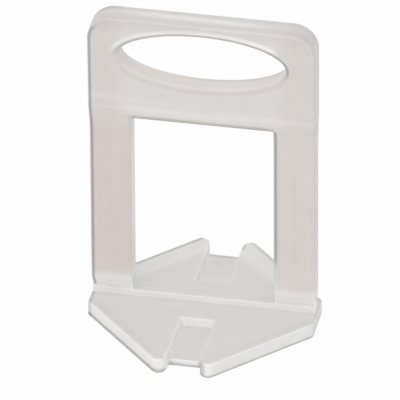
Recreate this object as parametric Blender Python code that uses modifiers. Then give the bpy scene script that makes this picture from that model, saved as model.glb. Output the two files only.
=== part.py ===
"""Tile levelling clip, a one-piece moulding in translucent milky polypropylene.

A hexagonal base plate with a notch and a shallow channel at each end lies under the tiles. A low rib
crosses it. Two legs stand on the rib through thin break-off necks, and carry a thicker head with an oval
finger hole. A wedge goes through the window between the legs and presses the tiles onto the plate.

The origin is the middle of the plate's underside, X runs along the rib, -Y is the front, +Z is up.
"""
import math

import bmesh
import bpy
from mathutils import Matrix

# Driving dimensions, in metres
clip_height = 0.0477           # from the underside to the top of the head

leg_span = 0.0316              # across both legs, outside
leg_thickness = 0.0030         # the width of the joint between the tiles
window_width = 0.02005
window_top = 0.0317            # height of the face that the wedge bears on
window_round = 0.0003          # round in the window's upper corners

head_width = 0.03185
head_swell = 0.00036           # how far the head's front stands before the legs' front, at the ramp
head_lean = 0.00036            # further growth of the head's front towards the top
head_round = 0.00355           # round at the head's upper corners
ramp_bottom = 0.0291           # the front swells from the legs' thickness to the head's between these
ramp_top = 0.0338
hole_width = 0.02355
hole_height = 0.0083
hole_centre = 0.04155          # height of the finger hole's centre

neck_thickness = 0.0007        # the thin web where a leg breaks off
neck_height = 0.0003
neck_slope = 0.0018            # height over which a leg thins down to its neck

rib_width = 0.0012
rib_height = 0.00087           # above the plate

plate_thickness = 0.00245
plate_width = 0.0319
plate_side = 0.0065            # length of the straight side edges
plate_reach = 0.01765          # from the middle to where a tip's edges would meet, before rounding
tip_spread = 0.0056            # between those meeting points, across the notch
tip_round = 0.0011
side_round = 0.0005            # round at the four side corners
notch_width = 0.0043           # at the notch's inner edge
notch_edge = 0.0140            # from the middle to the notch's inner edge
channel_width = 0.00475
channel_end = 0.0050           # from the middle to the channel's end wall
channel_floor = 0.0012         # thickness left under the channel

edge_round = 0.0004            # rounded edges of the plate and the frame
rib_edge_round = 0.00012

# Modelling steps
corner_steps = 8               # steps round the head's corners
small_steps = 4                # steps round the small corners
hole_points = 64
ramp_steps = 8
edge_segments = 3
overlap = 0.0005               # how far a piece reaches into the one that it is joined to
merge_distance = 1e-6          # points closer than this are one point
flat_angle = math.radians(40)  # edges sharper than this are rounded, or shaded sharp
facet_angle = math.radians(0.5)  # faces that meet flatter than this are one face

# Derived sizes
leg_half = leg_span / 2
head_half = head_width / 2
window_half = window_width / 2
leg_front = leg_thickness / 2
head_front = leg_front + head_swell
crown_front = head_front + head_lean
rib_top = plate_thickness + rib_height
neck_top = rib_top + neck_height
foot_top = neck_top + neck_slope


def new_collection(name):
    collection = bpy.data.collections.new(name)
    bpy.context.scene.collection.children.link(collection)
    return collection


def arc(centre_x, centre_y, radius, start, end, steps):
    """Points round a circle from one angle to another, in degrees."""
    points = []
    for step in range(steps + 1):
        angle = math.radians(start + (end - start) * step / steps)
        points.append((centre_x + radius * math.cos(angle), centre_y + radius * math.sin(angle)))
    return points


def rounded_corner(before, corner, after, radius, steps):
    """Points of an arc that rounds the corner between two straight edges."""
    to_before = (before[0] - corner[0], before[1] - corner[1])
    to_after = (after[0] - corner[0], after[1] - corner[1])
    angle_before = math.atan2(to_before[1], to_before[0])
    angle_after = math.atan2(to_after[1], to_after[0])
    turn = (angle_after - angle_before + math.pi) % (2 * math.pi) - math.pi
    middle = angle_before + turn / 2
    distance = radius / math.sin(abs(turn) / 2)
    centre = (corner[0] + distance * math.cos(middle), corner[1] + distance * math.sin(middle))
    sweep = math.copysign(math.pi - abs(turn), turn)
    first = middle + math.pi + sweep / 2
    return arc(centre[0], centre[1], radius, math.degrees(first), math.degrees(first - sweep), steps)


def ellipse(centre_y, width, height, count):
    points = []
    for step in range(count):
        angle = 2 * math.pi * step / count
        points.append((width / 2 * math.cos(angle), centre_y + height / 2 * math.sin(angle)))
    return points


def extruded(name, outlines, thickness, collection):
    """A mesh object: a filled flat outline, with holes if there are more outlines than one, extruded
    evenly to both sides of the XY plane, its doubles merged and its flat facets joined."""
    curve = bpy.data.curves.new(name, "CURVE")
    curve.dimensions = "2D"
    curve.fill_mode = "BOTH"
    curve.extrude = thickness / 2
    for outline in outlines:
        spline = curve.splines.new("POLY")
        spline.points.add(len(outline) - 1)
        for point, (x, y) in zip(spline.points, outline):
            point.co = (x, y, 0, 1)
        spline.use_cyclic_u = True
    carrier = bpy.data.objects.new(name + "_outline", curve)
    collection.objects.link(carrier)
    mesh = evaluated_mesh(carrier, name)
    bpy.data.objects.remove(carrier)
    bpy.data.curves.remove(curve)
    form = bmesh.new()
    form.from_mesh(mesh)
    bmesh.ops.remove_doubles(form, verts=form.verts, dist=merge_distance)
    bmesh.ops.recalc_face_normals(form, faces=form.faces)
    bmesh.ops.dissolve_limit(form, angle_limit=facet_angle, verts=form.verts, edges=form.edges)
    form.to_mesh(mesh)
    form.free()
    piece = bpy.data.objects.new(name, mesh)
    collection.objects.link(piece)
    return piece


def evaluated_mesh(piece, name):
    """A plain mesh of an object with its modifiers applied."""
    bpy.context.view_layer.update()
    depsgraph = bpy.context.evaluated_depsgraph_get()
    mesh = bpy.data.meshes.new_from_object(piece.evaluated_get(depsgraph))
    mesh.name = name
    return mesh


def round_edges(piece, width, segments):
    """Rounds the sharp edges of a mesh object, for good."""
    bevel = piece.modifiers.new("rounded_edges", "BEVEL")
    bevel.width = width
    bevel.segments = segments
    bevel.limit_method = "ANGLE"
    bevel.angle_limit = flat_angle
    bevel.use_clamp_overlap = False
    plain = piece.data
    piece.data = evaluated_mesh(piece, piece.name)
    piece.modifiers.clear()
    bpy.data.meshes.remove(plain)


def ramp_levels():
    """The heights at which the ramp between the legs and the head is modelled."""
    return [ramp_bottom + (ramp_top - ramp_bottom) * step / ramp_steps for step in range(ramp_steps + 1)]


def ramp_blend(height, below, above):
    """A size that eases from its value below the ramp to its value above it."""
    share = (height - ramp_bottom) / (ramp_top - ramp_bottom)
    return below + (above - below) * share * share * (3 - 2 * share)


def frame_front(height):
    """Distance of the frame's front from its middle plane at a height."""
    if height >= ramp_top:
        return head_front + head_lean * (height - ramp_top) / (clip_height - ramp_top)
    if height > ramp_bottom:
        return ramp_blend(height, leg_front, head_front)
    return frame_back(height)


def frame_back(height):
    """Distance of the frame's back from its middle plane at a height: flat but for the necks."""
    if height >= foot_top:
        return leg_front
    if height <= neck_top:
        return neck_thickness / 2
    share = (height - neck_top) / neck_slope
    return neck_thickness / 2 + (leg_front - neck_thickness / 2) * share


def frame_outline():
    """Outline of the head and the legs, seen from the front, and the finger hole's outline."""
    foot = rib_top - overlap
    left_side = [(-ramp_blend(height, leg_half, head_half), height) for height in ramp_levels()]
    right_side = [(-x, y) for x, y in reversed(left_side)]
    centre_x = head_half - head_round
    centre_y = clip_height - head_round
    window_corner_x = window_half - window_round
    window_corner_y = window_top - window_round
    outer = [(-leg_half, foot)] + left_side
    outer += arc(-centre_x, centre_y, head_round, 180, 90, corner_steps)
    outer += arc(centre_x, centre_y, head_round, 90, 0, corner_steps)
    outer += right_side + [(leg_half, foot), (window_half, foot)]
    outer += arc(window_corner_x, window_corner_y, window_round, 0, 90, small_steps)
    outer += arc(-window_corner_x, window_corner_y, window_round, 90, 180, small_steps)
    outer += [(-window_half, foot)]
    return [outer, ellipse(hole_centre, hole_width, hole_height, hole_points)]


def make_frame(collection):
    """The head and both legs: an extruded outline with rounded edges, whose front and back then follow
    the heights' thickness rule."""
    frame = extruded("head_and_legs", frame_outline(), 2 * crown_front, collection)
    frame.data.transform(Matrix.Rotation(math.radians(90), 4, "X"))
    round_edges(frame, edge_round, edge_segments)
    form = bmesh.new()
    form.from_mesh(frame.data)
    for level in ramp_levels() + [neck_top, foot_top]:
        geometry = form.verts[:] + form.edges[:] + form.faces[:]
        bmesh.ops.bisect_plane(
            form, geom=geometry, plane_co=(0, 0, level), plane_no=(0, 0, 1), dist=merge_distance)
    for vertex in form.verts:
        height = vertex.co.z
        half = frame_front(height) if vertex.co.y < 0 else frame_back(height)
        vertex.co.y *= half / crown_front
    form.to_mesh(frame.data)
    form.free()
    return frame


def plate_outline():
    """Outline of the base plate, seen from above: a hexagon with a flared notch at the front and back."""
    half_width = plate_width / 2
    side = plate_side / 2
    tip_x = tip_spread / 2
    notch_x = notch_width / 2
    side_corner = (half_width, side)
    tip = (tip_x, plate_reach)
    notch_corner = (notch_x, notch_edge)
    quarter = rounded_corner((half_width, -side), side_corner, tip, side_round, small_steps)
    quarter += rounded_corner(side_corner, tip, notch_corner, tip_round, corner_steps)
    quarter.append(notch_corner)
    back = quarter + [(-x, y) for x, y in reversed(quarter)]
    return [back + [(-x, -y) for x, y in back]]


def make_plate(collection):
    plate = extruded("plate", plate_outline(), plate_thickness, collection)
    plate.data.transform(Matrix.Translation((0, 0, plate_thickness / 2)))
    round_edges(plate, edge_round, edge_segments)
    return plate


def box(name, low, high, collection):
    """A box between two corners, its size in its mesh."""
    form = bmesh.new()
    size = [upper - lower for lower, upper in zip(low, high)]
    centre = [(lower + upper) / 2 for lower, upper in zip(low, high)]
    bmesh.ops.create_cube(form, size=1, matrix=Matrix.Translation(centre) @ Matrix.Diagonal((*size, 1)))
    mesh = bpy.data.meshes.new(name)
    form.to_mesh(mesh)
    form.free()
    piece = bpy.data.objects.new(name, mesh)
    collection.objects.link(piece)
    return piece


def make_channel(name, side, collection):
    """The cutter of the channel that runs inwards from one notch, on the front (-1) or the back (+1)."""
    ends = sorted((side * channel_end, side * (plate_reach + overlap)))
    low = (-channel_width / 2, ends[0], channel_floor)
    high = (channel_width / 2, ends[1], plate_thickness + overlap)
    return box(name, low, high, collection)


def make_rib(collection):
    low = (-leg_half, -rib_width / 2, plate_thickness - overlap)
    high = (leg_half, rib_width / 2, rib_top)
    rib = box("cross_rib", low, high, collection)
    round_edges(rib, rib_edge_round, 1)
    return rib


def join(piece, other, operation):
    """Adds an exact Boolean with another object, which then shows as a wire and isn't rendered."""
    modifier = piece.modifiers.new(operation.lower() + "_" + other.name, "BOOLEAN")
    modifier.operation = operation
    modifier.solver = "EXACT"
    modifier.object = other
    other.hide_render = True
    other.display_type = "WIRE"


def milky_plastic():
    material = bpy.data.materials.new("milky_polypropylene")
    material.use_nodes = True
    shader = material.node_tree.nodes["Principled BSDF"]
    shader.inputs["Base Color"].default_value = (0.70, 0.67, 0.64, 1)
    shader.inputs["Roughness"].default_value = 0.35
    shader.inputs["Metallic"].default_value = 0
    return material


def make_clip():
    parts = new_collection("tile_levelling_clip")
    cutters = new_collection("cutters")
    clip = make_plate(parts)
    clip.name = "levelling_clip"
    join(clip, make_channel("front_channel", -1, cutters), "DIFFERENCE")
    join(clip, make_channel("back_channel", 1, cutters), "DIFFERENCE")
    join(clip, make_rib(cutters), "UNION")
    join(clip, make_frame(cutters), "UNION")
    solid = evaluated_mesh(clip, "levelling_clip")
    clip.modifiers.clear()
    clip.data = solid
    form = bmesh.new()
    form.from_mesh(solid)
    bmesh.ops.remove_doubles(form, verts=form.verts, dist=merge_distance)
    form.to_mesh(solid)
    form.free()
    solid.shade_smooth()
    solid.set_sharp_from_angle(angle=flat_angle)
    solid.materials.clear()
    solid.materials.append(milky_plastic())


for leftover in list(bpy.data.objects):
    bpy.data.objects.remove(leftover)
make_clip()
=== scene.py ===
"""The looks of a one-piece tile levelling clip in milky polypropylene.

The moulding is modelled again with finer rounds and with the small fillets of a moulded part. It stands for
the plain solid of the frame, in the same place and at the same size. All lengths are in metres: X runs
along the cross rib, -Y is the front, and Z is up from the underside of the base plate.
"""
import math

import bmesh
import bpy
from mathutils import Matrix, Vector


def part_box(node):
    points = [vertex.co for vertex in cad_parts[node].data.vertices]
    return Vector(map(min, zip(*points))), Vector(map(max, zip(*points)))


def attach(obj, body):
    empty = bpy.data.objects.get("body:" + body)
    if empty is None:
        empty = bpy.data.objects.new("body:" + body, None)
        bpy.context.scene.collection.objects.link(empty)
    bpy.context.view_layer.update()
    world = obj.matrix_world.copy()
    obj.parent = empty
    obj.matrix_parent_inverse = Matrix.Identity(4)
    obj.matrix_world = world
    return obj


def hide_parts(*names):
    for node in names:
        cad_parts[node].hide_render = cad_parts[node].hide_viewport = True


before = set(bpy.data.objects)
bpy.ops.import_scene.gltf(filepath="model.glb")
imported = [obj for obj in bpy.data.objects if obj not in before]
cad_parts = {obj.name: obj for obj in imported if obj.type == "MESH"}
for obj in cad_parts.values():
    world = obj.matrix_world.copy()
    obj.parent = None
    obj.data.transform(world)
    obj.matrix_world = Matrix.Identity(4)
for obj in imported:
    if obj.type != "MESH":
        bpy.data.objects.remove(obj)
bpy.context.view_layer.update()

solid_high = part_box("levelling_clip")[1]

# Head and legs
clip_height = solid_high.z
leg_span = 0.0316
leg_thickness = 0.0030
window_width = 0.02005
window_top = 0.0317
window_round = 0.0003
head_width = 0.03185
head_swell = 0.00036           # how far the head's front stands before the legs' front, at the ramp
head_lean = 0.00036            # further growth of the head's front towards the top
head_round = 0.00355
ramp_bottom = 0.0291           # the front swells from the legs to the head between these heights
ramp_top = 0.0338
hole_width = 0.02355
hole_height = 0.0083
hole_centre = 0.04155
hole_front_rim = 0.0008        # the front rim is rounded for the finger
hole_back_rim = 0.00015

# Break-off necks
neck_thickness = 0.0007
neck_height = 0.0003
neck_slope = 0.0018            # height over which a leg thins down to its neck

# Cross rib
rib_width = 0.0012
rib_height = 0.00087
rib_fillet = 0.00022           # between the rib and the plate
rib_edge = 0.00014

# Base plate
plate_thickness = 0.00245
plate_half = solid_high.x
plate_side = 0.0065            # length of the straight side edges
plate_reach = 0.01765          # from the middle to where a tip's edges would meet, before rounding
tip_spread = 0.0056
tip_round = 0.0011
side_round = 0.0005
notch_width = 0.0043
notch_edge = 0.0140            # from the middle to the notch's inner edge
channel_width = 0.00475
channel_end = 0.0050           # from the middle to the channel's end wall
channel_floor = 0.0012
channel_fillet = 0.00018       # along the channel's floor
channel_round = 2 * channel_fillet                  # its corners, seen from above
channel_rim = 0.00012          # rounded edge along its top

edge_round = 0.0004            # rounded edges of the plate and the frame

# Modelling steps
corner_steps = 24
small_steps = 8
hole_points = 144
edge_segments = 6
fillet_steps = 5
overlap = 0.0005               # how far a piece reaches into the one that it is joined to
merge_distance = 1e-6
rib_sink = 5 * merge_distance                       # how far the rib's fillet starts inside the plate
flat_angle = math.radians(40)                       # edges that bend more are rounded or shaded sharp
straight_angle = math.radians(0.5)                  # edges that bend less are dissolved in flat outlines

leg_half = leg_span / 2
head_half = head_width / 2
window_half = window_width / 2
leg_front = leg_thickness / 2
crown_front = leg_front + head_swell + head_lean
rib_top = plate_thickness + rib_height
neck_top = rib_top + neck_height
foot_top = neck_top + neck_slope
slope_run = plate_half - tip_spread / 2             # the plate's slanted edges
slope_rise = plate_reach - plate_side / 2
slope_length = math.hypot(slope_run, slope_rise)

# The camera, at the photograph's viewing angle
camera_azimuth = 0.2018        # to the right of the front, in radians
camera_elevation = 0.5472
camera_roll = -0.0062
camera_distance = 1.58
sensor_width = 0.036
aim_height = 0.01975           # of the point on the clip's axis that lies at aim_pixel
aim_pixel = (204.25, 193.54)
image_pixels = 400
pixels_per_metre = 7233.9      # at the aimed point
camera_range = 10

# The studio: even white light and three weak soft lamps over a white table
studio_strength = 0.73
white = (1, 1, 1, 1)
table_colour = (0.9, 0.9, 0.9, 1)
table_whiteness = 0.94         # share of plain white where the table itself is seen
table_half = 3
table_gap = 0.00005            # from the clip's underside down to the table
lamps = (                      # name, degrees to the right of the front and upwards, size, power
    ("front_light", -18, 15, 0.8, 2.15),
    ("right_light", 20, 20, 0.8, 1.0),
    ("top_light", 0, 70, 1.0, 1.15))

# Colours and surface of the plastic
head_side_colour = (0.685, 0.642, 0.622, 1)
head_middle_colour = (0.722, 0.695, 0.672, 1)
left_leg_colour = (0.678, 0.616, 0.586, 1)
right_leg_colour = (0.692, 0.642, 0.615, 1)
base_colour = (0.757, 0.744, 0.725, 1)
# painted light: the finger hole's wall is made paler and warmer than the head, where it lies in shade
hole_wall_painted_light_colour = (0.869, 0.828, 0.799, 1)
# the two pale colours paint light on the plastic, and dark_colour paints shade on it
pale_frame_colour = (0.93, 0.925, 0.905, 1)
pale_base_colour = (0.93, 0.938, 0.932, 1)
dark_colour = (0.30, 0.29, 0.27, 1)
dark_reach = 0.75              # how much of the dark colour a dark share of 1 brings
least_roughness = 0.34
cloud_roughness = 0.12         # added in the middle of a cloud
cloud_scale = 160.0
grain_scale = 2600.0
grain_strength = 0.06
grain_height = 0.0001
subsurface_weight = 0.5
subsurface_reach = 0.0006

# Face tones: how much painted light (the paler tone), painted shade (the darker tone) and painted shade along
# the plate's lower edge a face takes by its place and turn.
# "along" and "square" sort the parts of a face's normal along the axes, which go from 0 to 1.
along = 0.97                   # from here on, a face looks along the axis
nearly_along = 0.9
square = 0.1                   # up to here, it stands square to the axis
sideways = 0.2                 # from here on, it turns left or right
away_left = 1.8                # how fast faces darken as they turn left and down
away_down = 1.4
rib_top_paler = 0.1
rib_side_paler = 0.14
rib_side_rise = 1.4
right_rim_paler = 0.9          # the channels' rims, where they turn right and elsewhere
rim_paler = 0.1
channel_end_paler = 0.5
channel_side_paler = 1
endwise = 0.7
left_wall_darker = 0.42        # walls of the right half that turn left: upright and slanted
left_edge_darker = 0.4
left_wall_rise = 1.5
left_wall_lower = 0.6
steepest_top_edge = 0.75
front_edge_paler = 0.45
front_edge_darker = 0.12
rear_edge_darker = 0.15
rear_edge_away = 0.45
notch_wall_paler = 0.65
front_wall_paler = 0.5
wall_fade = 0.4                # loss of the paler tone towards the plate's left end
lower_slant_paler = 0.4
lower_edge_least = 0.6
lower_edge_away = 0.4
hole_reach = 1.22              # size of the ellipse round the hole that holds its wall and rims
hole_roof_darker = 0.6
rim_right_gain = 0.4           # paler where the hole's front rim turns right and up
rim_up_gain = 0.22
rim_shade_turn = (0.3, 0.7)
rim_shade_darker = 0.13
rim_darker = 0.06
crown_paler = 0.12
back_edge_darker = 0.3
front_up_darker = 0.06
front_down_darker = 0.5
window_side_paler = 0.7        # upright sides of the frame: left leg's inner, outer right, right leg's inner
right_side_paler = 0.22
inner_right_paler = 0.35

# Painted masks. Two numbers are where a blend starts and ends, and two more are its values there. In a band,
# four numbers are where it starts, is full, begins to fall and ends. Lengths are in metres.
shade_line_inside_edge_band = (0.0, 0.00028, 0.00036, 0.00066)
leg_heights = (0.0050, 0.0095, 0.0285, 0.0335)
head_middle = (0.0095, 0.0135, 1.0, 0.0)
side_blend = (-0.003, 0.003)
rear_blend = (0.001, 0.003)
window_blend = (window_half - 0.001, window_half + 0.001, 1.0, 0.0)
hole_wall_band = (-0.0004, -0.0002, 0.00002, 0.00015)

# Pale masks of painted light, and of paler patches over the head's ramp, with the share of the pale tone in
# each
over_hole_band = (0.00055, 0.0008, 0.00095, 0.0014)
over_hole_shift = 0.0002       # further from the hole on its right
over_hole_rise = (0.4, 0.85)
over_hole_end = (0.0098, 0.0110, 1.0, 0.0)
over_hole_middle = 0.75        # strength at the middle, and its growth for each metre to the right
over_hole_growth = 20.0
over_window_heights = (window_top + 0.0005, window_top + 0.0011, 0.0336, 0.0346)
top_heights = (clip_height - 0.0018, clip_height - 0.0003)
top_forwards = (-0.0100, 0.0130, 0.0, 0.0007)       # the top's band comes forwards to the right
top_band = (-0.0013, 0.0002, 0.0003, 0.0008)
top_fade = (0.0045, 0.0115, 1.0, 0.2)
top_end = (0.0115, 0.0145, 1.0, 0.0)
rear_edge_band = (0.0005, 0.0009, 0.0028, 0.0045)
foot_heights = (neck_top, foot_top, foot_top + 0.0001, foot_top + 0.0015)
neck_heights = (rib_top - 0.0001, rib_top + 0.0001, rib_top + 0.0003, foot_top)
neck_blend = (window_half - 0.0002, window_half + 0.0002)
channel_top = plate_thickness - 0.0002
channel_margin = 0.0001
channel_side_blend = (0.0010, channel_width / 2)
channel_back_band = (0.0048, 0.0052, 0.0065, 0.0100)
channel_left_blend = (0.0004 - channel_width / 2, 0.0008 - channel_width / 2, 1.0, 0.0)
# soft paler patches of noise over the head's ramp
ramp_patches_stretch = (0.05, 0.05, 1.0)
ramp_patches_scale = 800.0
ramp_patches_limits = (0.45, 0.65)
ramp_patches_heights = (0.0322, 0.0332, 0.0350, 0.0366)
by_rib_band = (0.0007, 0.0010, 0.0020, 0.0045)
right_foot_heights = (foot_top, 0.0065, 0.0085, 0.0125)
pale_shares = {
    "over_hole": 0.8, "over_window": 0.06, "top": 0.6, "rear": 0.14, "rear_edge": 0.4, "feet": 0.4,
    "necks": 0.6, "channel_sides": 0.25, "channel_back": 0.35, "channel_left": 0.15, "ramp_patches": 0.16,
    "by_rib": 0.1, "right_foot": 0.07}

# Dark masks of painted shade, and of random streaks and mottle, with the share of the dark tone in each
frame_front_blend = (-0.0004, 0.0004, 1.0, 0.45)
left_line_above = (0.0014, 0.0026, 1.0, 0.12)
window_line_heights = (0.0095, 0.0115)
corner_above = (0.0, 0.0016)
corner_band = (0.0004, 0.0008, 0.0012, 0.0017)
corner_inside = (0.0003, 0.0005, 1.0, 0.0)
corner_fade = (-0.0145, -0.0100, 0.5, 0.1)
crown_line_blend = (-0.0012, -0.0006, 1.0, 0.0)
crown_line_heights = (0.0458, 0.0468)
side_line_band = (0.0, 0.00015, 0.0004, 0.0008)
side_line_heights = (plate_thickness, plate_thickness + 0.0001, 1.0, 0.0)
side_line_loss = 0.9           # on the right
tip_line_band = (0.0022, 0.0024, 0.0026, 0.0030)
tip_line_reach = (0.0138, 0.0142)
tip_line_height = 0.0022       # the front tip has its line up to here only
notch_line_band = (-0.0001, 0.0001, 0.0003, 0.0008)
hole_line_band = (0.00003, 0.0002, 0.00045, 0.00075)
hole_line_heights = (hole_centre - 0.0014, hole_centre)
lower_half_heights = (hole_centre - 0.0025, hole_centre - 0.0005, 1.0, 0.0)
under_hole_band = (0.0001, 0.0004, 0.0006, 0.00085)
hole_floor_depth = (0.0006, 0.0011)
hole_floor_side = (-0.0060, 0.0020)
plate_front_blend = (-0.003, -0.001, 1.0, 0.0)
plate_front_band = (0.0001, 0.0004, 0.0009, 0.0018)
plate_top_heights = (0.0021, 0.0024)
rear_line_band = (0.0, 0.0003, 0.0005, 0.0010)
rear_line_loss = 0.5           # on the right
low_left_band = (0.0, 0.0003, 0.0005, 0.0011)
low_right_band = (-0.0001, 0.0002, 0.0003, 0.0007)
window_edge_heights = (window_top - 0.0002, window_top, 0.0321, 0.0325)
streak_stretch = (1.0, 1.0, 0.04)
streak_scale = 1500.0
streak_limits = (0.4, 0.7)
mottle_scale = 420.0
mottle_detail = 3.0
mottle_limits = (0.45, 0.75)
dark_shares = {
    "hole_right": 0.75, "hole_up": 0.55, "side_line": 0.45, "front_tip": 0.3, "back_tip_more": 0.2,
    "notch_line": 0.45, "crown_line": 0.1, "under_hole": 0.18, "hole_floor": 0.3, "plate_front": 0.08,
    "rear_line": 0.55, "window_edge": 0.6, "streaks": 0.05, "mottle": 0.06}


class Field:
    """A socket of a node tree. Arithmetic on it adds Math nodes to the tree."""

    def __init__(self, nodes, socket):
        self.nodes = nodes
        self.socket = socket

    def math(self, operation, *values):
        return self.nodes.add("ShaderNodeMath", {"operation": operation}, dict(enumerate(values)))

    def __add__(self, other):
        return self.math("ADD", self, other)

    __radd__ = __add__

    def __mul__(self, other):
        return self.math("MULTIPLY", self, other)

    __rmul__ = __mul__

    def __sub__(self, other):
        return self.math("SUBTRACT", self, other)

    def __rsub__(self, other):
        return self.math("SUBTRACT", other, self)

    def __truediv__(self, other):
        return self.math("DIVIDE", self, other)

    def __lt__(self, other):
        return self.math("LESS_THAN", self, other)

    def __gt__(self, other):
        return self.math("GREATER_THAN", self, other)

    def __abs__(self):
        return self.math("ABSOLUTE", self)

    def root(self):
        return self.math("SQRT", self)

    def at_least(self, least):
        return self.math("MAXIMUM", self, least)

    def at_most(self, most):
        return self.math("MINIMUM", self, most)


class Nodes:
    """Makes the nodes of one tree."""

    def __init__(self, tree):
        self.tree = tree
        tree.nodes.clear()

    def add(self, kind, settings=None, inputs=None, output=0):
        """A new node with its settings, then the values or links of its sockets. Gives one of its outputs,
        if it has any."""
        node = self.tree.nodes.new(kind)
        for name, value in (settings or {}).items():
            setattr(node, name, value)
        for key, value in (inputs or {}).items():
            if isinstance(value, Field):
                self.tree.links.new(value.socket, node.inputs[key])
            else:
                node.inputs[key].default_value = value
        return Field(self, node.outputs[output]) if node.outputs else None

    def output_of(self, field, name):
        """Another output of the node that a field comes from."""
        return Field(self, field.socket.node.outputs[name])

    def ease(self, value, start, end, low=0.0, high=1.0, kind="SMOOTHSTEP"):
        """A number that goes from low to high while value goes from start to end."""
        return self.add("ShaderNodeMapRange", {"interpolation_type": kind}, {
            "Value": value, "From Min": start, "From Max": end, "To Min": low, "To Max": high})

    def mix(self, factor, first, second):
        """A colour between two. Inputs 6 and 7 and output 2 are the node's colour sockets."""
        settings = {"data_type": "RGBA", "clamp_factor": True}
        return self.add("ShaderNodeMix", settings, {0: factor, 6: first, 7: second}, output=2)

    def band(self, value, start, full, fall, end):
        """1 between full and fall, and 0 before start and after end."""
        return self.ease(value, start, full) * self.ease(value, fall, end, 1.0, 0.0)

    def shade_line_inside_edge(self, distance):
        """A soft line of painted shade just inside an edge."""
        return self.band(distance, *shade_line_inside_edge_band)

    def noise(self, place, scale, detail=2.0, roughness=0.5):
        return self.add("ShaderNodeTexNoise", None, {
            "Vector": place, "Scale": scale, "Detail": detail, "Roughness": roughness})

    def drawn_noise(self, place, stretch, scale, limits):
        """Soft patches of a noise that is stretched along the axes."""
        drawn = self.add("ShaderNodeVectorMath", {"operation": "MULTIPLY"}, {0: place, 1: stretch})
        return self.ease(self.noise(drawn, scale), *limits)

    def attribute(self, name):
        """A number that the mesh carries."""
        return self.add("ShaderNodeAttribute", {"attribute_name": name}, None, output="Fac")


def arc(centre_x, centre_y, radius, start, end, steps):
    """Points round a circle from one angle to another, in degrees."""
    points = []
    for step in range(steps + 1):
        angle = math.radians(start + (end - start) * step / steps)
        points.append((centre_x + radius * math.cos(angle), centre_y + radius * math.sin(angle)))
    return points


def rounded_corner(before, corner, after, radius, steps):
    """Points of an arc that rounds the corner between two straight edges."""
    angle_before = math.atan2(before[1] - corner[1], before[0] - corner[0])
    angle_after = math.atan2(after[1] - corner[1], after[0] - corner[0])
    turn = (angle_after - angle_before + math.pi) % (2 * math.pi) - math.pi
    middle = angle_before + turn / 2
    distance = radius / math.sin(abs(turn) / 2)
    centre_x = corner[0] + distance * math.cos(middle)
    centre_y = corner[1] + distance * math.sin(middle)
    sweep = math.copysign(math.pi - abs(turn), turn)
    first = middle + math.pi + sweep / 2
    return arc(centre_x, centre_y, radius, math.degrees(first), math.degrees(first - sweep), steps)


def ellipse(centre_y, width, height, count):
    points = []
    for step in range(count):
        angle = 2 * math.pi * step / count
        points.append((width / 2 * math.cos(angle), centre_y + height / 2 * math.sin(angle)))
    return points


def evaluated_mesh(piece, name):
    """A plain mesh of an object with its modifiers applied."""
    bpy.context.view_layer.update()
    depsgraph = bpy.context.evaluated_depsgraph_get()
    mesh = bpy.data.meshes.new_from_object(piece.evaluated_get(depsgraph))
    mesh.name = name
    return mesh


def new_object(name, data):
    made = bpy.data.objects.new(name, data)
    bpy.context.scene.collection.objects.link(made)
    return made


def extruded(name, outlines, thickness):
    """A filled flat outline, with holes if there are more outlines than one, extruded to both sides."""
    curve = bpy.data.curves.new(name, "CURVE")
    curve.dimensions = "2D"
    curve.fill_mode = "BOTH"
    curve.extrude = thickness / 2
    for outline in outlines:
        spline = curve.splines.new("POLY")
        spline.points.add(len(outline) - 1)
        for point, (x, y) in zip(spline.points, outline):
            point.co = (x, y, 0, 1)
        spline.use_cyclic_u = True
    carrier = new_object(name, curve)
    mesh = evaluated_mesh(carrier, name)
    bpy.data.objects.remove(carrier)
    form = bmesh.new()
    form.from_mesh(mesh)
    bmesh.ops.remove_doubles(form, verts=form.verts, dist=merge_distance)
    bmesh.ops.recalc_face_normals(form, faces=form.faces)
    bmesh.ops.dissolve_limit(form, angle_limit=straight_angle, verts=form.verts, edges=form.edges)
    form.to_mesh(mesh)
    form.free()
    return new_object(name, mesh)


def apply_modifiers(piece):
    plain = piece.data
    piece.data = evaluated_mesh(piece, piece.name)
    piece.modifiers.clear()
    bpy.data.meshes.remove(plain)


def round_edges(piece, width, segments):
    bevel = piece.modifiers.new("rounded_edges", "BEVEL")
    bevel.width = width
    bevel.segments = segments
    bevel.limit_method = "ANGLE"
    bevel.angle_limit = flat_angle
    bevel.use_clamp_overlap = False
    apply_modifiers(piece)


def spaced(start, end, steps):
    return [start + (end - start) * step / steps for step in range(steps + 1)]


def frame_outline():
    """Outline of the head and the legs, seen from the front, without the finger hole."""
    foot = rib_top - overlap
    left_side = []
    for height in spaced(ramp_bottom, ramp_top, small_steps):
        share = (height - ramp_bottom) / (ramp_top - ramp_bottom)
        half = leg_half + (head_half - leg_half) * share * share * (3 - 2 * share)
        left_side.append((-half, height))
    centre_x = head_half - head_round
    centre_y = clip_height - head_round
    corner_x = window_half - window_round
    corner_y = window_top - window_round
    outer = [(-leg_half, foot)] + left_side
    outer += arc(-centre_x, centre_y, head_round, 180, 90, corner_steps)
    outer += arc(centre_x, centre_y, head_round, 90, 0, corner_steps)
    outer += [(-x, y) for x, y in reversed(left_side)]
    outer += [(leg_half, foot), (window_half, foot)]
    outer += arc(corner_x, corner_y, window_round, 0, 90, small_steps)
    outer += arc(-corner_x, corner_y, window_round, 90, 180, small_steps)
    outer += [(-window_half, foot)]
    return [outer]


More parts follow.
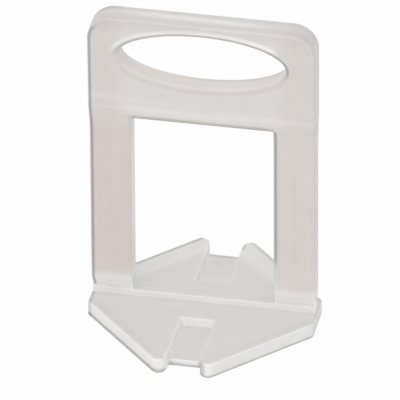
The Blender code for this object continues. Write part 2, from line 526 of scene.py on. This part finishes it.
def thickness_rule():
    """Geometry nodes that set how far the front and the back of the frame stand from its middle plane at
    each height: thin at the necks, even along the legs, and fuller at the front of the head."""
    tree = bpy.data.node_groups.new("thickness_by_height", "GeometryNodeTree")
    nodes = Nodes(tree)
    tree.interface.new_socket("Geometry", in_out="INPUT", socket_type="NodeSocketGeometry")
    tree.interface.new_socket("Geometry", in_out="OUTPUT", socket_type="NodeSocketGeometry")
    sizes = {
        "Blank Half": crown_front, "Leg Half": leg_front, "Neck Half": neck_thickness / 2,
        "Neck Top": neck_top, "Foot Top": foot_top, "Ramp Bottom": ramp_bottom, "Ramp Top": ramp_top,
        "Clip Height": clip_height, "Head Swell": head_swell, "Head Lean": head_lean}
    for name in sizes:
        tree.interface.new_socket(name, in_out="INPUT", socket_type="NodeSocketFloat")
    given = nodes.add("NodeGroupInput")
    size = {name: nodes.output_of(given, name) for name in sizes}
    place = nodes.add("GeometryNodeInputPosition")
    x = nodes.add("ShaderNodeSeparateXYZ", None, {0: place})
    y = nodes.output_of(x, "Y")
    z = nodes.output_of(x, "Z")
    neck = nodes.ease(z, size["Neck Top"], size["Foot Top"], size["Neck Half"], size["Leg Half"], "LINEAR")
    swell = nodes.ease(z, size["Ramp Bottom"], size["Ramp Top"], 0.0, size["Head Swell"])
    lean = nodes.ease(z, size["Ramp Top"], size["Clip Height"], 0.0, size["Head Lean"], "LINEAR")
    half = neck + (y < 0.0) * (swell + lean)
    shaped = nodes.add("ShaderNodeCombineXYZ", None, {0: x, 1: y * half / size["Blank Half"], 2: z})
    moved = nodes.add("GeometryNodeSetPosition", None, {"Geometry": given, "Position": shaped})
    realized = nodes.add("GeometryNodeRealizeInstances", None, {0: moved})
    finished = nodes.add("GeometryNodeSetMaterial", None, {0: realized, "Material": milky_plastic})
    nodes.add("NodeGroupOutput", None, {0: finished})
    return tree, sizes


def make_hole():
    """The cutter of the finger hole, with a rounded rim at the front and a small one at the back."""
    def ring(growth, front_depth=None, back_depth=None):
        points = []
        for x, z in ellipse(hole_centre, hole_width + 2 * growth, hole_height + 2 * growth, hole_points):
            lean = head_lean * (z - ramp_top) / (clip_height - ramp_top)
            if back_depth is None:
                y = front_depth - leg_front - head_swell - lean
            else:
                y = leg_front - back_depth
            points.append((x, y, z))
        return points

    quarter = spaced(0, math.pi / 2, edge_segments)
    rings = [ring(hole_front_rim, front_depth=-overlap)]
    for angle in quarter:
        depth = hole_front_rim * (1 - math.cos(angle))
        rings.append(ring(hole_front_rim * (1 - math.sin(angle)), front_depth=depth))
    for angle in reversed(quarter):
        depth = hole_back_rim * (1 - math.cos(angle))
        rings.append(ring(hole_back_rim * (1 - math.sin(angle)), back_depth=depth))
    rings.append(ring(hole_back_rim, back_depth=-overlap))
    return lofted("finger_hole", rings)


def make_frame():
    """The head and both legs: an extruded outline with rounded edges, shaped by the thickness rule."""
    piece = extruded("head_and_legs", frame_outline(), 2 * crown_front)
    piece.data.transform(Matrix.Rotation(math.radians(90), 4, "X"))
    round_edges(piece, edge_round, edge_segments)
    levels = spaced(ramp_bottom, ramp_top, corner_steps) + [neck_top, foot_top]
    form = bmesh.new()
    form.from_mesh(piece.data)
    for level in levels:
        geometry = form.verts[:] + form.edges[:] + form.faces[:]
        bmesh.ops.bisect_plane(
            form, geom=geometry, plane_co=(0, 0, level), plane_no=(0, 0, 1), dist=merge_distance)
    form.to_mesh(piece.data)
    form.free()
    rule = piece.modifiers.new("thickness_by_height", "NODES")
    rule.node_group, sizes = thickness_rule()
    for item in rule.node_group.interface.items_tree:
        if item.name in sizes:
            rule[item.identifier] = sizes[item.name]
    apply_modifiers(piece)
    join(piece, make_hole(), "DIFFERENCE")
    return piece


def plate_outline():
    """Outline of the base plate, seen from above: a hexagon with a flared notch at the front and back."""
    side = plate_side / 2
    side_corner = (plate_half, side)
    tip = (tip_spread / 2, plate_reach)
    notch_corner = (notch_width / 2, notch_edge)
    quarter = rounded_corner((plate_half, -side), side_corner, tip, side_round, small_steps)
    quarter += rounded_corner(side_corner, tip, notch_corner, tip_round, corner_steps)
    quarter.append(notch_corner)
    back = quarter + [(-x, y) for x, y in reversed(quarter)]
    return [back + [(-x, -y) for x, y in back]]


def make_plate():
    plate = extruded("moulded_clip", plate_outline(), plate_thickness)
    plate.data.transform(Matrix.Translation((0, 0, plate_thickness / 2)))
    round_edges(plate, edge_round, edge_segments)
    return plate


def rounded_rectangle(low_x, high_x, low_y, high_y, radius):
    """Points round a rectangle with round corners."""
    ring = arc(high_x - radius, high_y - radius, radius, 0, 90, fillet_steps)
    ring += arc(low_x + radius, high_y - radius, radius, 90, 180, fillet_steps)
    ring += arc(low_x + radius, low_y + radius, radius, 180, 270, fillet_steps)
    ring += arc(high_x - radius, low_y + radius, radius, 270, 360, fillet_steps)
    return ring


def lofted(name, rings):
    """A closed mesh through rings of equally many points, from the lowest to the highest."""
    form = bmesh.new()
    rows = [[form.verts.new(point) for point in ring] for ring in rings]
    for lower, upper in zip(rows, rows[1:]):
        for index in range(len(lower)):
            form.faces.new((lower[index - 1], lower[index], upper[index], upper[index - 1]))
    form.faces.new(list(reversed(rows[0])))
    form.faces.new(rows[-1])
    bmesh.ops.recalc_face_normals(form, faces=form.faces)
    mesh = bpy.data.meshes.new(name)
    form.to_mesh(mesh)
    form.free()
    return new_object(name, mesh)


def make_channel(name, side):
    """The cutter of one channel. It flares at the plate's top, for a rounded rim, and its floor has a
    fillet along the walls. The front is side -1 and the back +1."""
    levels = []
    for angle in spaced(0, math.pi / 2, fillet_steps):
        levels.append((channel_floor + channel_fillet * (1 - math.cos(angle)),
                       -channel_fillet * (1 - math.sin(angle))))
    for angle in spaced(0, math.pi / 2, fillet_steps):
        levels.append((plate_thickness - channel_rim * (1 - math.sin(angle)),
                       channel_rim * (1 - math.cos(angle))))
    levels.append((plate_thickness + overlap, channel_rim))
    rings = []
    for height, growth in levels:
        ends = sorted((side * (channel_end - growth), side * (plate_reach + overlap)))
        half = channel_width / 2 + growth
        ring = rounded_rectangle(-half, half, ends[0], ends[1], channel_round + growth)
        rings.append([(x, y, height) for x, y in ring])
    return lofted(name, rings)


def make_rib():
    """The cross rib: its section has rounded top edges and a fillet down to the plate."""
    half = rib_width / 2
    foot = plate_thickness - overlap
    skirt = half + rib_fillet
    base = plate_thickness - rib_sink
    right = arc(skirt, base + rib_fillet, rib_fillet, 270, 180, fillet_steps)
    right += arc(half - rib_edge, rib_top - rib_edge, rib_edge, 0, 90, fillet_steps)
    section = [(skirt, foot)] + right + [(-y, z) for y, z in reversed(right)] + [(-skirt, foot)]
    rib = extruded("cross_rib", [section], leg_span)
    turn = Matrix.Rotation(math.radians(90), 4, "Z") @ Matrix.Rotation(math.radians(90), 4, "X")
    rib.data.transform(turn)
    return rib


def join(piece, other, operation):
    """Joins or cuts a piece with another, which is then removed."""
    modifier = piece.modifiers.new(operation.lower(), "BOOLEAN")
    modifier.operation = operation
    modifier.solver = "EXACT"
    modifier.object = other
    apply_modifiers(piece)
    bpy.data.objects.remove(other)


def turned_away(normal):
    """How far a face turns left or down, away from the light, where the painted shade on edges is darkest."""
    return min(1, away_left * max(0, -normal.x) + away_down * max(0, -normal.z))


def channel_tone(centre, normal, slanted):
    """Share of painted light (paler) on a face of a channel: its rim, its end or its sides."""
    if slanted and centre.z > plate_thickness - channel_rim:
        return right_rim_paler if normal.x > sideways else rim_paler
    return channel_end_paler if abs(normal.y) > endwise else channel_side_paler


def wall_tone(centre, normal):
    """Share of painted light (paler) on an upright wall round the plate, which fades towards the plate's left
    end.
    """
    if abs(centre.x) < notch_width / 2 and abs(normal.y) > nearly_along:
        return notch_wall_paler
    leftward = max(0, -centre.x / plate_half)
    return min(front_wall_paler, abs(normal.y)) * (1 - wall_fade * leftward ** 2)


def plate_tones(centre, normal):
    """Shares of painted light (paler), painted shade (darker) and painted shade along the lower edge of a
    face of the plate or the rib.
    """
    slanted = abs(normal.z) > square
    in_channel = (abs(centre.x) < channel_width / 2 + channel_rim
                  and abs(centre.y) > channel_end - channel_rim
                  and centre.z > channel_floor)
    if abs(normal.z) >= along:
        return (rib_top_paler if centre.z > plate_thickness + merge_distance else 0), 0, 0
    if in_channel:
        return channel_tone(centre, normal, slanted), 0, 0
    if centre.z > plate_thickness:
        return rib_side_paler * min(1, rib_side_rise * max(0, -normal.y)), 0, 0
    if centre.x > 0 and normal.x < -sideways:
        darker = left_edge_darker if slanted else left_wall_darker
        return 0, darker * min(1, -left_wall_rise * normal.x), left_wall_lower
    if slanted and centre.z > plate_thickness / 2:
        if normal.y > 0:
            return 0, rear_edge_darker + rear_edge_away * turned_away(normal), 0
        if normal.y < 0 and normal.z < steepest_top_edge:
            return min(front_edge_paler, -normal.y), 0, 0
        return 0, front_edge_darker, 0
    paler = lower_slant_paler if slanted else wall_tone(centre, normal)
    return paler, 0, lower_edge_least + lower_edge_away * turned_away(normal)


def hole_tones(normal):
    """Shares of painted light (paler) and painted shade (darker) of a face of the finger hole: its wall, its
    front rim and its back rim.
    """
    if abs(normal.y) <= square:
        return 0, (0 if normal.z > 0 else hole_roof_darker)
    if -along < normal.y < 0:
        paler = rim_right_gain * max(0, normal.x) ** 2 + rim_up_gain * max(0, normal.z) ** 4
        shaded = rim_shade_turn[0] < normal.z < rim_shade_turn[1]
        return paler, (rim_shade_darker if shaded else rim_darker)
    return 0, 0


def frame_tones(centre, normal):
    """Shares of painted light (paler) and painted shade (darker) of a face of the head or the legs."""
    across = 2 * centre.x / hole_width
    upwards = 2 * (centre.z - hole_centre) / hole_height
    if math.hypot(across, upwards) < hole_reach:
        return hole_tones(normal)
    facing = abs(normal.y)
    if facing <= square and abs(normal.x) < nearly_along:
        return crown_paler * max(0, normal.z), 0
    if square < facing < along:
        if normal.y > 0:
            return 0, back_edge_darker
        return 0, front_up_darker * max(0, normal.z) + front_down_darker * max(0, -normal.z)
    if normal.x > nearly_along:
        return (window_side_paler if centre.x < 0 else right_side_paler), 0
    if normal.x < -nearly_along and centre.x > 0:
        return inner_right_paler, 0
    return 0, 0


def mark_faces(form):
    """Face attributes for the plastic: how much painted light (the paler tone) and painted shade (the darker
    tone) each face takes, and how strong the painted shade line along the plate's lower edge is on it."""
    paler = form.faces.layers.float.new("paler")
    darker = form.faces.layers.float.new("darker")
    lower_edge_shade = form.faces.layers.float.new("lower_edge_shade")
    for face in form.faces:
        centre = face.calc_center_median()
        if centre.z < rib_top:
            face[paler], face[darker], face[lower_edge_shade] = plate_tones(centre, face.normal)
        elif centre.z > foot_top:
            face[paler], face[darker] = frame_tones(centre, face.normal)


def make_clip():
    clip = make_plate()
    join(clip, make_channel("front_channel", -1), "DIFFERENCE")
    join(clip, make_channel("back_channel", 1), "DIFFERENCE")
    join(clip, make_rib(), "UNION")
    join(clip, make_frame(), "UNION")
    form = bmesh.new()
    form.from_mesh(clip.data)
    bmesh.ops.remove_doubles(form, verts=form.verts, dist=merge_distance)
    mark_faces(form)
    form.to_mesh(clip.data)
    form.free()
    clip.data.shade_smooth()
    clip.data.set_sharp_from_angle(angle=flat_angle)
    weighted = clip.modifiers.new("weighted_normals", "WEIGHTED_NORMAL")
    weighted.keep_sharp = True
    apply_modifiers(clip)
    clip.data.materials.clear()
    clip.data.materials.append(milky_plastic)
    return clip


class Places:
    """Fields over the clip that the plastic's tones are made of: coordinates, masks of the main parts, and
    distances from the outlines."""

    def __init__(self, nodes):
        self.point = nodes.output_of(nodes.add("ShaderNodeTexCoord"), "Object")
        self.x = nodes.add("ShaderNodeSeparateXYZ", None, {0: self.point})
        self.y = nodes.output_of(self.x, "Y")
        self.z = nodes.output_of(self.x, "Z")
        self.aside = abs(self.x)
        self.legs = nodes.band(self.z, *leg_heights)
        self.base = nodes.ease(self.z, rib_top, neck_top, 1.0, 0.0)
        self.rightward = nodes.ease(self.x, *side_blend)
        self.rear = self.base * nodes.ease(self.y, *rear_blend)
        self.in_window = nodes.ease(self.aside, *window_blend)

        # How far above the round corners' middles, and how far inside the outline of the head and the legs
        half = nodes.ease(self.z, ramp_bottom, ramp_top, leg_half, head_half)
        beside = (self.aside - half + head_round).at_least(0.0)
        self.above = (self.z - (clip_height - head_round)).at_least(0.0)
        self.inside = head_round - (beside * beside + self.above * self.above).root()

        # How far outside the finger hole, and how much of that way leads to the right and upwards
        across = 2 * self.x / hole_width
        upwards = 2 * (self.z - hole_centre) / hole_height
        ring = (across * across + upwards * upwards).root()
        steep_x = 2 * across / hole_width
        steep_z = 2 * upwards / hole_height
        steep = (steep_x * steep_x + steep_z * steep_z).root()
        self.from_hole = (ring - 1.0) * ring / steep
        self.hole_right = (steep_x / steep).at_least(0.0)
        self.hole_up = (steep_z / steep).at_least(0.0)
        self.on_hole_wall = nodes.band(self.from_hole, *hole_wall_band)

        # How far inside the plate's slanted edges
        lengthwise = slope_run * (plate_side / 2 - abs(self.y))
        self.inward = (slope_rise * (plate_half - self.aside) + lengthwise) / slope_length


def main_tone(nodes, at):
    """Colour of the head, the legs and the base, with painted light on the finger hole's wall, before the
    other painted pale and dark places.
    """
    middle = nodes.ease(at.aside, *head_middle)
    head = nodes.mix(middle, head_side_colour, head_middle_colour)
    leg = nodes.mix(at.rightward, left_leg_colour, right_leg_colour)
    tone = nodes.mix(at.base, head, base_colour)
    tone = nodes.mix(at.legs, tone, leg)
    # painted light on the finger hole's wall
    return nodes.mix((1.0 - at.base) * at.on_hole_wall, tone, hole_wall_painted_light_colour)


def pale_share(nodes, at):
    """How pale each place is: painted light over the finger hole and the window, along the head's top and the
    plate's rear edges, and in the feet, the necks and the channels, with paler patches over the head's ramp."""
    over_hole = nodes.band(at.from_hole - over_hole_shift * at.hole_right, *over_hole_band)
    over_hole = over_hole * nodes.ease(at.hole_up, *over_hole_rise) * nodes.ease(at.x, *over_hole_end)
    top = nodes.ease(at.z, *top_heights)
    top = top * nodes.band(at.y + nodes.ease(at.x, *top_forwards, "LINEAR"), *top_band)
    top = top * nodes.ease(at.aside, *top_fade)
    in_channel = (at.z < channel_top) * (at.z > channel_floor - channel_margin)
    in_channel = in_channel * (at.aside < channel_width / 2 + channel_margin)
    in_channel = in_channel * (abs(at.y) > channel_end - channel_margin)
    masks = {
        "over_hole": over_hole * (over_hole_middle + over_hole_growth * at.x),
        "over_window": at.in_window * nodes.band(at.z, *over_window_heights),
        "top": top * nodes.ease(at.aside, *top_end),
        "rear": at.rear,
        "rear_edge": at.rear * nodes.band(at.inward, *rear_edge_band),
        "feet": nodes.band(at.z, *foot_heights),
        "necks": nodes.band(at.z, *neck_heights) * nodes.ease(at.aside, *neck_blend),
        "channel_sides": in_channel * nodes.ease(at.aside, *channel_side_blend),
        "channel_back": in_channel * nodes.band(at.y, *channel_back_band),
        "channel_left": in_channel * nodes.ease(at.x, *channel_left_blend),
        # soft paler patches over the head's ramp
        "ramp_patches": nodes.drawn_noise(at.point, ramp_patches_stretch, ramp_patches_scale, ramp_patches_limits) * nodes.band(
            at.z, *ramp_patches_heights),
        "by_rib": at.base * nodes.band(abs(at.y), *by_rib_band),
        "right_foot": at.rightward * nodes.band(at.z, *right_foot_heights)}
    pale = nodes.attribute("paler")
    for name, share in pale_shares.items():
        pale = pale + share * masks[name]
    return pale


def frame_lines(nodes, at):
    """Painted shade lines of the head and the legs, along edges that turn left or down, away from the light.
    """
    front = (1.0 - at.base) * nodes.ease(at.y, *frame_front_blend)
    left = nodes.shade_line_inside_edge(at.inside) * (at.x < 0.0) * nodes.ease(at.above, *left_line_above)
    window = nodes.shade_line_inside_edge(at.aside - window_half) * (at.x > 0.0) * (at.z < window_top)
    window = window * nodes.ease(at.z, *window_line_heights)
    hole_right = dark_shares["hole_right"] * at.hole_right * nodes.ease(at.z, *hole_line_heights)
    hole = nodes.band(at.from_hole, *hole_line_band)
    hole = hole * (hole_right + dark_shares["hole_up"] * at.hole_up)
    corner = nodes.ease(at.above, *corner_above) * nodes.band(at.y, *corner_band)
    corner = corner * nodes.ease(at.inside, *corner_inside) * nodes.ease(at.x, *corner_fade)
    return front * (left + window + hole) + corner


def plate_lines(nodes, at):
    """Painted shade lines of the plate: along its straight sides, at its tips and in its back notch."""
    side = (1.0 - side_line_loss * at.rightward) * nodes.band(plate_half - at.aside, *side_line_band)
    side = side * nodes.ease(at.z, *side_line_heights)
    tip = at.base * nodes.band(at.x, *tip_line_band) * nodes.ease(abs(at.y), *tip_line_reach)
    tip = tip * ((at.y > 0.0) + (at.z < tip_line_height)).at_most(1.0)
    tip_line_share = dark_shares["front_tip"] + dark_shares["back_tip_more"] * (at.y > 0.0)
    notch = at.base * nodes.band(notch_edge - at.y, *notch_line_band) * (at.aside < notch_width / 2)
    return dark_shares["side_line"] * side + tip_line_share * tip + dark_shares["notch_line"] * notch


def hole_lines(nodes, at):
    """Painted shade lines under the finger hole's front rim and along the back of its floor."""
    lower_half = nodes.ease(at.z, *lower_half_heights)
    under = (1.0 - at.base) * nodes.band(at.from_hole, *under_hole_band)
    floor = nodes.ease(at.y, *hole_floor_depth) * nodes.ease(at.x, *hole_floor_side) * at.on_hole_wall
    return lower_half * (dark_shares["under_hole"] * under + dark_shares["hole_floor"] * floor)


def dark_share(nodes, at):
    """How dark each place is: painted shade along edges that turn left or down and along the plate's edges,
    with random streaks along the legs and mottle.
    """
    crown = (1.0 - at.base) * nodes.ease(at.y, *crown_line_blend) * nodes.ease(at.z, *crown_line_heights)
    lines = frame_lines(nodes, at) + plate_lines(nodes, at) + dark_shares["crown_line"] * crown
    lines = lines + hole_lines(nodes, at)
    front = at.base * nodes.ease(at.y, *plate_front_blend) * nodes.band(at.inward, *plate_front_band)
    rear = at.rear * nodes.band(at.inward, *rear_line_band) * (1.0 - rear_line_loss * at.rightward)
    top_edges = dark_shares["plate_front"] * front + dark_shares["rear_line"] * rear
    low = nodes.band(at.z, *low_left_band) * (1.0 - at.rightward)
    low = low + nodes.band(at.z, *low_right_band) * at.rightward
    streaks = at.legs * nodes.drawn_noise(at.point, streak_stretch, streak_scale, streak_limits)
    mottle = nodes.ease(nodes.noise(at.point, mottle_scale, mottle_detail), *mottle_limits)
    window_edge = at.in_window * nodes.band(at.z, *window_edge_heights)
    dark = nodes.attribute("darker") + nodes.attribute("lower_edge_shade") * low
    dark = dark + top_edges * nodes.ease(at.z, *plate_top_heights) + lines
    dark = dark + dark_shares["window_edge"] * window_edge
    return dark + dark_shares["streaks"] * streaks + dark_shares["mottle"] * mottle


def make_milky_plastic():
    """Milky polypropylene with a satin skin. The thin legs look warmer and a little darker than the head
    and the plate. The paler and darker places are painted and not lit: they follow the photograph's light."""
    material = bpy.data.materials.new("milky_polypropylene")
    material.use_nodes = True
    nodes = Nodes(material.node_tree)
    at = Places(nodes)
    pale_colour = nodes.mix(at.base, pale_frame_colour, pale_base_colour)
    tone = nodes.mix(pale_share(nodes, at), main_tone(nodes, at), pale_colour)
    tone = nodes.mix(dark_reach * dark_share(nodes, at), tone, dark_colour)
    bump = nodes.add("ShaderNodeBump", None, {
        "Strength": grain_strength, "Distance": grain_height, "Height": nodes.noise(at.point, grain_scale)})
    shader = nodes.add("ShaderNodeBsdfPrincipled", None, {
        "Base Color": tone,
        "Roughness": least_roughness + cloud_roughness * nodes.noise(at.point, cloud_scale),
        "Metallic": 0.0,
        "Subsurface Weight": subsurface_weight,
        "Subsurface Radius": (1.0, 1.0, 1.0),
        "Subsurface Scale": subsurface_reach,
        "Normal": bump})
    nodes.add("ShaderNodeOutputMaterial", None, {0: shader})
    return material


def make_camera():
    """A long lens at the photograph's viewing angle, placed so that the clip has its size and place there."""
    out = Vector((math.cos(camera_elevation) * math.sin(camera_azimuth),
                  -math.cos(camera_elevation) * math.cos(camera_azimuth),
                  math.sin(camera_elevation)))
    level = Vector((math.cos(camera_azimuth), math.sin(camera_azimuth), 0))
    upright = out.cross(level)
    right = math.cos(camera_roll) * level + math.sin(camera_roll) * upright
    up = math.cos(camera_roll) * upright - math.sin(camera_roll) * level
    half = image_pixels / 2
    aim = Vector((0, 0, aim_height))
    aim -= right * (aim_pixel[0] - half) / pixels_per_metre
    aim += up * (aim_pixel[1] - half) / pixels_per_metre
    camera = bpy.data.cameras.new("camera")
    camera.sensor_width = 1000 * sensor_width
    camera.lens = 1000 * sensor_width * camera_distance * pixels_per_metre / image_pixels
    camera.clip_end = camera_range
    holder = new_object("camera", camera)
    holder.matrix_world = Matrix.Translation(aim + camera_distance * out) @ Matrix(
        (right, up, out)).transposed().to_4x4()
    bpy.context.scene.camera = holder


def backdrop_share(nodes):
    """1 for rays that show the background itself, to the eye or in a reflection."""
    path = nodes.add("ShaderNodeLightPath")
    seen = path.math("MAXIMUM", path, nodes.output_of(path, "Is Glossy Ray"))
    return seen.math("MAXIMUM", seen, nodes.output_of(path, "Is Transmission Ray"))


def make_world():
    world = bpy.data.worlds.new("studio")
    world.use_nodes = True
    nodes = Nodes(world.node_tree)
    seen = backdrop_share(nodes)
    light = nodes.add("ShaderNodeBackground", None, {"Color": white, "Strength": studio_strength})
    backdrop = nodes.add("ShaderNodeBackground", None, {"Color": white, "Strength": 1.0})
    both = nodes.add("ShaderNodeMixShader", None, {0: seen, 1: light, 2: backdrop})
    nodes.add("ShaderNodeOutputWorld", None, {0: both})
    bpy.context.scene.world = world


def make_floor():
    """A plain white table, which stays white in the picture and keeps a faint shadow of the clip."""
    material = bpy.data.materials.new("white_table")
    material.use_nodes = True
    nodes = Nodes(material.node_tree)
    seen = backdrop_share(nodes)
    matt = nodes.add("ShaderNodeBsdfDiffuse", None, {"Color": table_colour})
    plain = nodes.add("ShaderNodeEmission", None, {"Color": white, "Strength": 1.0})
    both = nodes.add("ShaderNodeMixShader", None, {0: seen * table_whiteness, 1: matt, 2: plain})
    nodes.add("ShaderNodeOutputMaterial", None, {0: both})
    mesh = bpy.data.meshes.new("table")
    form = bmesh.new()
    bmesh.ops.create_grid(form, x_segments=1, y_segments=1, size=table_half)
    form.to_mesh(mesh)
    form.free()
    mesh.materials.append(material)
    table = new_object("table", mesh)
    table.location.z = -table_gap


def make_lamp(name, azimuth, elevation, size, power):
    """A square soft light a metre away, at an azimuth to the right of the front, in degrees."""
    lamp = bpy.data.lights.new(name, "AREA")
    lamp.size = size
    lamp.energy = power
    around = math.radians(azimuth)
    above = math.radians(elevation)
    out = Vector((math.cos(above) * math.sin(around), -math.cos(above) * math.cos(around), math.sin(above)))
    holder = new_object(name, lamp)
    holder.location = out
    holder.rotation_euler = out.to_track_quat("Z", "Y").to_euler()


milky_plastic = make_milky_plastic()
clip = make_clip()
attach(clip, "root")
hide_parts("levelling_clip")
make_world()
make_floor()
for lamp in lamps:
    make_lamp(*lamp)
make_camera()
bpy.context.scene.view_settings.view_transform = "Standard"
